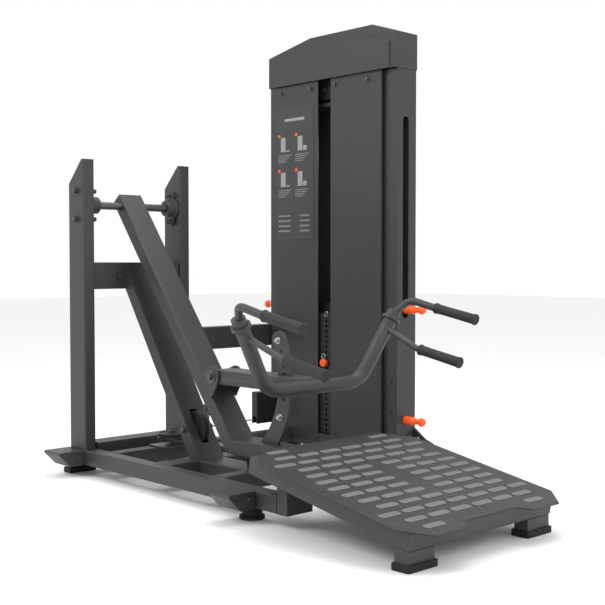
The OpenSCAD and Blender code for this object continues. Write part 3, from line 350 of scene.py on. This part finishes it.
# A CAD solid with its edges rounded: long edges by a tube's corner radius, short ones by a weld's breadth.
def rounded(node, material, radius, longEdge=None, shortShare=0.25, segments=3, angle=32):
    mesh = nodes[node].data.copy()
    piece = bpy.data.objects.new(node + "Body", mesh)
    scene.collection.objects.link(piece)
    selectOnly(piece)
    bpy.ops.object.mode_set(mode="EDIT")
    bpy.ops.mesh.select_all(action="SELECT")
    bpy.ops.mesh.remove_doubles(threshold=0.00002)
    bpy.ops.mesh.dissolve_limited(angle_limit=math.radians(0.6))
    bpy.ops.object.mode_set(mode="OBJECT")
    if longEdge:
        shell = bmesh.new()
        shell.from_mesh(piece.data)
        weight = shell.edges.layers.float.new("bevel_weight_edge")
        for edge in shell.edges:
            if len(edge.link_faces) == 2 and edge.calc_face_angle(0) > math.radians(angle):
                edge[weight] = 1.0 if edge.calc_length() > longEdge else shortShare
        shell.to_mesh(piece.data)
        shell.free()
        addModifier(piece, "BEVEL", width=radius / 1000, segments=segments, limit_method="WEIGHT",
                    use_clamp_overlap=True)
    else:
        addModifier(piece, "BEVEL", width=radius / 1000, segments=segments, limit_method="ANGLE",
                    angle_limit=math.radians(angle), use_clamp_overlap=True)
    applyAll(piece)
    smoothPiece(piece)
    return dress(piece, material, bodyOf[node], slotOf[node], node)


# A shape of turning: a circle extruded and resized from step to step, each step (radius, height) in mm.
def turned(name, profile, sides=40, bore=False):
    first = profile[0]
    bpy.ops.mesh.primitive_circle_add(vertices=sides, radius=first[0] / 1000, location=(0, 0, first[1] / 1000),
                                      fill_type="NOTHING" if bore else "NGON")
    piece = bpy.context.active_object
    piece.name = name
    bpy.ops.object.transform_apply(location=True, rotation=True, scale=True)
    bpy.ops.object.mode_set(mode="EDIT")
    bpy.ops.mesh.select_all(action="SELECT")
    last = first
    for step in list(profile[1:]) + ([first] if bore else []):
        bpy.ops.mesh.extrude_region_move(TRANSFORM_OT_translate={"value": (0, 0, (step[1] - last[1]) / 1000)})
        share = step[0] / last[0]
        bpy.ops.transform.resize(value=(share, share, 1), center_override=(0, 0, step[1] / 1000))
        last = step
    bpy.ops.mesh.select_all(action="SELECT")
    bpy.ops.mesh.remove_doubles(threshold=0.000001)
    bpy.ops.mesh.normals_make_consistent(inside=False)
    bpy.ops.object.mode_set(mode="OBJECT")
    return piece


def stand(piece, place, direction=up, roll=0.0):
    turn = Vector(direction).to_track_quat("Z", "Y").to_matrix().to_4x4()
    piece.matrix_world = Matrix.Translation(place) @ turn @ Matrix.Rotation(roll, 4, "Z")
    selectOnly(piece)
    bpy.ops.object.transform_apply(location=True, rotation=True, scale=True)
    return piece


def copyOf(piece, name, place, direction=up, roll=0.0):
    twin = bpy.data.objects.new(name, piece.data.copy())
    scene.collection.objects.link(twin)
    return stand(twin, place, direction, roll)


def softened(piece, width, segments=2, angle=35):
    addModifier(piece, "BEVEL", width=width / 1000, segments=segments, limit_method="ANGLE",
                angle_limit=math.radians(angle), use_clamp_overlap=True)
    applyAll(piece)
    smoothPiece(piece)
    return piece


# base, rear frame and tower keep the CAD solids, with rounded corners
tubeCorner = {"radius": 5.0, "long": 0.12}
for node in ("rails", "link_beam", "rear_base_beam", "uprights", "upper_cross_beam", "brace", "tie_beam",
             "platform_posts", "platform_frame", "arm", "foot_beam", "lever"):
    rounded(node, frameCoat, tubeCorner["radius"], tubeCorner["long"])
plateCorner = {"outriggers": 2.0, "bearing_housings": 2.6, "sector": 1.5, "lever_bracket": 1.6, "cable_anchor": 1.2}
for node, radius in plateCorner.items():
    rounded(node, frameCoat, radius)
panelCorner = {"tower_frame": 1.0, "panel_rear": 2.0, "panel_front": 2.0, "side_wall_rear": 1.0,
               "side_wall_front": 1.0, "back_panel": 1.0, "tower_cap": 3.0}
for node, radius in panelCorner.items():
    rounded(node, panelCoat, radius)
smallCorner = {
    "deck": (deckCoat, 1.4), "floor_pads": (blackRubber, 3.0), "deck_screws": (darkSteel, 0.5),
    "leg_caps": (blackRubber, 2.0), "stop_post": (blackRubber, 2.0), "pulley_cover": (blackPlastic, 2.0),
    "axle": (darkSteel, 1.0), "pivot_bolt": (darkSteel, 1.0), "sector_bolts": (zincPlate, 0.8),
    "frame_bolts": (darkSteel, 0.8), "head_plate": (plateIron, 1.5), "lifted_plates": (plateIron, 1.4),
    "resting_plates": (plateIron, 1.4), "collars": (frameCoat, 1.5), "flat_pulley_pin": (darkSteel, 0.8),
    "lock_pin": (darkSteel, 1.2), "stack_bumpers": (blackRubber, 1.5),
}
for node, (material, radius) in smallCorner.items():
    rounded(node, material, radius)
print("rounded copies made")


# A round bar along points, swept as one smooth tube with closed ends.
def sweptTube(name, points, diameter, sides=10, closed=False):
    track = bpy.data.curves.new(name, "CURVE")
    track.dimensions = "3D"
    track.bevel_depth = diameter / 2000
    track.bevel_resolution = sides
    track.use_fill_caps = True
    line = track.splines.new("POLY")
    line.points.add(len(points) - 1)
    for i, point in enumerate(points):
        line.points[i].co = (*point, 1)
    line.use_cyclic_u = closed
    piece = bpy.data.objects.new(name, track)
    scene.collection.objects.link(piece)
    selectOnly(piece)
    bpy.ops.object.convert(target="MESH")
    piece = bpy.context.active_object
    bpy.ops.object.mode_set(mode="EDIT")
    bpy.ops.mesh.select_all(action="SELECT")
    bpy.ops.mesh.remove_doubles(threshold=0.000001)
    bpy.ops.mesh.normals_make_consistent(inside=False)
    bpy.ops.object.mode_set(mode="OBJECT")
    smoothPiece(piece, 50)
    return piece


# Points of a path whose inner corners are rounded to a bend radius.
def roundedPath(corners, bend, steps=14):
    path = [corners[0]]
    for before, corner, after in zip(corners, corners[1:], corners[2:]):
        back = (before - corner).normalized()
        ahead = (after - corner).normalized()
        half = back.angle(ahead) / 2
        reach = bend / math.tan(half)
        centre = corner + (back + ahead).normalized() * (bend / math.sin(half))
        first = corner + back * reach - centre
        last = corner + ahead * reach - centre
        total = first.angle(last)
        for k in range(steps + 1):
            share = k / steps
            arc = first * math.sin((1 - share) * total) + last * math.sin(share * total)
            path.append(centre + arc / math.sin(total))
    path.append(corners[-1])
    return path


# the U-shaped bar, bent from one tube
bar = {"x": 243, "z": 416, "footHalf": 214, "topHalf": 352, "rise": 230, "forward": 32, "bend": 0.1, "past": 1.044,
       "diameter": 48}
barCorners = []
for side, share in ((-1, bar["past"]), (-1, 0), (1, 0), (1, bar["past"])):
    barCorners.append(at(bar["x"] + share * bar["forward"],
                      side * (bar["footHalf"] + share * (bar["topHalf"] - bar["footHalf"])),
                      bar["z"] + share * bar["rise"]))
uBar = sweptTube("uBar", roundedPath(barCorners, bar["bend"], 20), bar["diameter"], 12)
dress(uBar, frameCoat, "handle", slotOf["u_bar"], "u_bar")

# bent stems and rubber grips, four of each
grip = {"fall": 11, "reach": 0.03,
        "upper": [(279, 355, 652), (320, 392, 698), (425, 392, 674)], "upperStem": 26, "upperBend": 0.04,
        "lower": [(280, 322, 596), (428, 306, 536)], "lowerStem": 21, "lowerBend": 0.05}
along = Vector((math.cos(math.radians(grip["fall"])), 0, -math.sin(math.radians(grip["fall"]))))
sleeve = turned("sleeve", [(13.5, 13), (18, 13), (19, 15), (19, 19), (17.4, 21), (17, 24), (16.4, 60), (16.6, 100),
                           (17, 150), (17.2, 176), (18.4, 180), (19, 183), (19, 187), (17.5, 188.6), (12, 189),
                           (8, 187)], 40)
softened(sleeve, 0.6, 2, 40)
for side, sideName in ((-1, "Near"), (1, "Far")):
    for level in ("upper", "lower"):
        corners = [at(x, side * y, z) for x, y, z in grip[level]]
        route = roundedPath([*corners, corners[-1] + along * grip["reach"]], grip[level + "Bend"], 10)
        stem = sweptTube(level + "Stem" + sideName, route, grip[level + "Stem"], 8)
        dress(stem, frameCoat, "handle", slotOf["grip_stems"], "grip_stems")
        rubber = copyOf(sleeve, level + "Grip" + sideName, corners[-1], along)
        smoothPiece(rubber, 40)
        dress(rubber, gripRubber, "handle", slotOf["grips"], "grips")
bpy.data.objects.remove(sleeve)
print("handle made")

# pulleys, turned with a rope groove, a dished web and a hub
pulleys = {
    "brace_pulley": {"at": (-400.64, 0, 205), "axis": (0, 1, 0), "radius": 65, "half": 10},
    "flat_pulley": {"at": (-636, 56, 142), "axis": (0, 0, 1), "radius": 58, "half": 13},
    "tower_pulley": {"at": (-758, 673, 194), "axis": (1, 0, 0), "radius": 54, "half": 11},
}
for node, size in pulleys.items():
    big, half = size["radius"], size["half"]
    face = [(6.2, half), (16, half), (18, half - 3), (big - 14, half - 3), (big - 11, half), (big - 1, half),
            (big, half - 1), (big, 4.4), (big - 3, 2.6)]
    below = [(radius, -height) for radius, height in face]
    wheel = turned(node + "Wheel", below + [(big - 4.2, 0)] + face[::-1], 72, bore=True)
    stand(wheel, at(*size["at"]), size["axis"])
    smoothPiece(wheel, 30)
    dress(wheel, blackPlastic, bodyOf[node], slotOf[node], node)

for node in ("top_pulley_rear", "top_pulley_front"):
    rounded(node, blackPlastic, 1.0)

# axle of the brace's pulley, with a hexagonal head at each end
braceBolt = {"x": pulleys["brace_pulley"]["at"][0], "z": pulleys["brace_pulley"]["at"][2], "half": 58, "roll": 0.3}
boltHead = turned("boltHead", [(12.5, 0), (12.5, 2.2), (11, 3), (11.2, 3.2), (11.2, 12), (10, 13.2), (5, 13.2)], 6)
for side in (-1, 1):
    place = at(braceBolt["x"], side * braceBolt["half"], braceBolt["z"])
    name = "braceAxleHead" + ("Near" if side < 0 else "Far")
    head = copyOf(boltHead, name, place, (0, side, 0), braceBolt["roll"])
    softened(head, 0.5)
    dress(head, darkSteel, "brace_pulley", slotOf["brace_pulley"], "brace_pulley")
bpy.data.objects.remove(boltHead)
braceHalf = braceBolt["half"]
braceAxle = turned("braceAxle", [(4, -braceHalf), (6, 1 - braceHalf), (6, braceHalf - 1), (4, braceHalf)], 24)
stand(braceAxle, at(braceBolt["x"], 0, braceBolt["z"]), (0, 1, 0))
softened(braceAxle, 0.5)
dress(braceAxle, darkSteel, "brace_pulley", slotOf["brace_pulley"], "brace_pulley")
print("pulleys made")

# pegs for extra plates: a thick foot, a tapered neck and a ball
peg = {"z": 641.4, "lowZ": 198, "y": 761, "frontX": -28, "rearX": -770, "inset": 9}
# the neck and ball, which both kinds share, as radius and height above the foot's end
neckAndBall = [(16, 0), (14, 3), (11.5, 13), (10.3, 27), (11.5, 31), (15, 35), (16.8, 40), (17, 44), (15.8, 50),
               (12.5, 55), (8, 58), (3, 59)]


def pegProfile(foot, neckStart):
    return foot + [(radius, neckStart + height) for radius, height in neckAndBall]


shapeOfPeg = turned("shapeOfPeg", pegProfile([(14, 0), (14, 10.6), (16, 11), (17, 12), (17, 51)], 53), 48)
smoothPiece(shapeOfPeg, 50)
for name, x, ahead in (("upperPegFront", peg["frontX"] - peg["inset"], 1),
                       ("upperPegRear", peg["rearX"] + peg["inset"], -1)):
    upperPeg = copyOf(shapeOfPeg, name, at(x, peg["y"], peg["z"]), (ahead, 0, 0))
    dress(upperPeg, orangePlastic, "stack", slotOf["upper_pegs"], "upper_pegs")
bpy.data.objects.remove(shapeOfPeg)
lowPeg = turned("lowerPeg", pegProfile([(7, -20), (7, 0), (16, 0.1), (17, 1.4), (17, 42)], 44), 48)
stand(lowPeg, at(peg["frontX"], peg["y"], peg["lowZ"]), (1, 0, 0))
smoothPiece(lowPeg, 50)
dress(lowPeg, orangePlastic, "base", slotOf["lower_peg"], "lower_peg")

# selector pin with a round knob
knob = {"x": -431, "z": 404.7, "face": 688}
pin = turned("selectorKnob", [(6, 0), (13, 0.6), (16, 2.5), (17, 5), (17, 9), (16, 12), (13, 13), (10, 14),
                              (10, 25), (5, 26.5), (5, 84), (3, 85)], 40)
stand(pin, at(knob["x"], knob["face"], knob["z"]), (0, 1, 0))
smoothPiece(pin, 45)
dress(pin, orangePlastic, "selector", slotOf["selector_pin"], "selector_pin")


def wireRing(name, centre, radius, wire):
    points = [centre + Vector((math.cos(t) * radius, 0, math.sin(t) * radius)) / 1000
              for t in (k * math.tau / 32 for k in range(32))]
    return sweptTube(name, points, wire, 6, closed=True)


ring = {"radius": 10, "wire": 3, "pinY": 696, "pinZ": 433.4, "eyeY": 713, "eyeZ": 611.4}
pinRing = wireRing("selectorRing", at(knob["x"], ring["pinY"], ring["pinZ"]), ring["radius"], ring["wire"])
dress(pinRing, zincPlate, "selector", slotOf["selector_ring"], "selector_ring")
eyeRing = wireRing("eyeRing", at(knob["x"], ring["eyeY"], ring["eyeZ"]), ring["radius"], ring["wire"])
dress(eyeRing, zincPlate, "stack", slotOf["lanyard"], "lanyard")

# the pin's cord hangs from the eye on the stack's head to the pin's ring
cord = {"top": at(knob["x"], 709, 599.4), "low": at(knob["x"], ring["pinY"], 445.4), "diameter": 2.5, "points": 24,
        "bow": 0.003}
route = [cord["top"].lerp(cord["low"], k / (cord["points"] - 1)) for k in range(cord["points"])]
for k, point in enumerate(route):
    point.y -= cord["bow"] * math.sin(math.pi * k / (cord["points"] - 1))
pinCord = sweptTube("pinCord", route, cord["diameter"], 4)
dress(pinCord, cableJacket, None, slotOf["lanyard"], "lanyard")
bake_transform(pinCord)
print("pegs, pin and cord made")

# guide rods, and the machine's cables, held taut over the pulleys: two of them cross a joint
crossing = ("arm_cable", "stack_cable")
for node, material in {"guide_rods": chromeRod, "arm_cable": cableJacket, "tower_cable": cableJacket,
                       "stack_cable": cableJacket}.items():
    piece = bpy.data.objects.new(node + "Body", nodes[node].data.copy())
    scene.collection.objects.link(piece)
    selectOnly(piece)
    bpy.ops.object.mode_set(mode="EDIT")
    bpy.ops.mesh.select_all(action="SELECT")
    bpy.ops.mesh.remove_doubles(threshold=0.00002)
    if node in crossing:
        bpy.ops.mesh.subdivide(number_cuts=6)
    bpy.ops.object.mode_set(mode="OBJECT")
    smoothPiece(piece, 40, weighted=False)
    dress(piece, material, None if node in crossing else bodyOf[node], slotOf[node], node)
    low, high = (Vector(corner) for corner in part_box(node))
    if node == "arm_cable":
        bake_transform(piece)
    if node == "stack_cable":
        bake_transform(piece)

rounded("tread_inserts", treadRubber, 0.5)

# plain placard: a dark film with plain blocks and light bars, and no lettering
card = {"x0": -731, "y": 698.5, "z0": 929, "z1": 1500, "margin": 14, "soft": 0.2}
cell = {"across": 108, "down": 152, "top": 112, "dot": 12, "block": (16, 46), "step": (50, 72), "rise": 14,
        "foot": 76, "stepTop": 70}
bars = {"count": 4, "below": 90, "pitch": 9, "length": 84, "shorter": 12, "height": 4}
rows = {"count": 4, "up": 34, "pitch": 22, "height": 7, "line": 78, "mark": (150, 212)}
title = {"left": 54, "right": 180, "low": 58, "high": 46}
rounded("placard", placardFilm, 0.4)


def flatMark(name, x0, x1, z0, z1, material, proud=0.5):
    bpy.ops.mesh.primitive_cube_add(size=1, location=at((x0 + x1) / 2, card["y"] - proud / 2, (z0 + z1) / 2))
    mark = bpy.context.active_object
    mark.name = name
    mark.scale = ((x1 - x0) / 1000, proud / 1000, (z1 - z0) / 1000)
    selectOnly(mark)
    bpy.ops.object.transform_apply(location=True, rotation=True, scale=True)
    softened(mark, card["soft"], 1)
    return dress(mark, material, "base", slotOf["placard"])


edge = card["x0"] + card["margin"]
for row in range(2):
    for column in range(2):
        left = edge + column * cell["across"]
        top = card["z1"] - cell["top"] - row * cell["down"]
        foot = top - cell["foot"]
        block, step = ([left + x for x in cell[part]] for part in ("block", "step"))
        flatMark(f"placardDot{row}{column}", left, left + cell["dot"], top - cell["dot"], top, orangePlastic)
        flatMark(f"placardBlock{row}{column}", *block, foot, top - cell["rise"], placardInk)
        stepTop = top - cell["stepTop"] + cell["rise"] * column
        flatMark(f"placardStep{row}{column}", *step, foot, stepTop, placardInk)
        for line in range(bars["count"]):
            high = top - bars["below"] - line * bars["pitch"]
            right = left + bars["length"] - bars["shorter"] * line
            flatMark(f"placardBar{row}{column}{line}", left, right, high - bars["height"], high, placardTint)
for line in range(rows["count"]):
    low = card["z0"] + rows["up"] + line * rows["pitch"]
    high = low + rows["height"]
    flatMark(f"placardLine{line}", edge, edge + rows["line"], low, high, placardTint)
    flatMark(f"placardMark{line}", *(card["x0"] + x for x in rows["mark"]), low, high, placardTint)
flatMark("placardHead", card["x0"] + title["left"], card["x0"] + title["right"], card["z1"] - title["low"],
         card["z1"] - title["high"], placardInk)
print("placard made")

# floor of the studio
ground = {"size": 40, "tone": 0.9, "rough": 0.9}
bpy.ops.mesh.primitive_plane_add(size=ground["size"], location=(0, 0, 0))
floor = bpy.context.active_object
floor.name = "studioFloor"
floorPaint = bpy.data.materials.new("floorPaint")
floorPaint.use_nodes = True
floorShader = floorPaint.node_tree.nodes["Principled BSDF"]
floorShader.inputs["Base Color"].default_value = (ground["tone"], ground["tone"], ground["tone"], 1)
floorShader.inputs["Roughness"].default_value = ground["rough"]
floor.data.materials.append(floorPaint)
floor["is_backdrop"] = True

low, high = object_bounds()
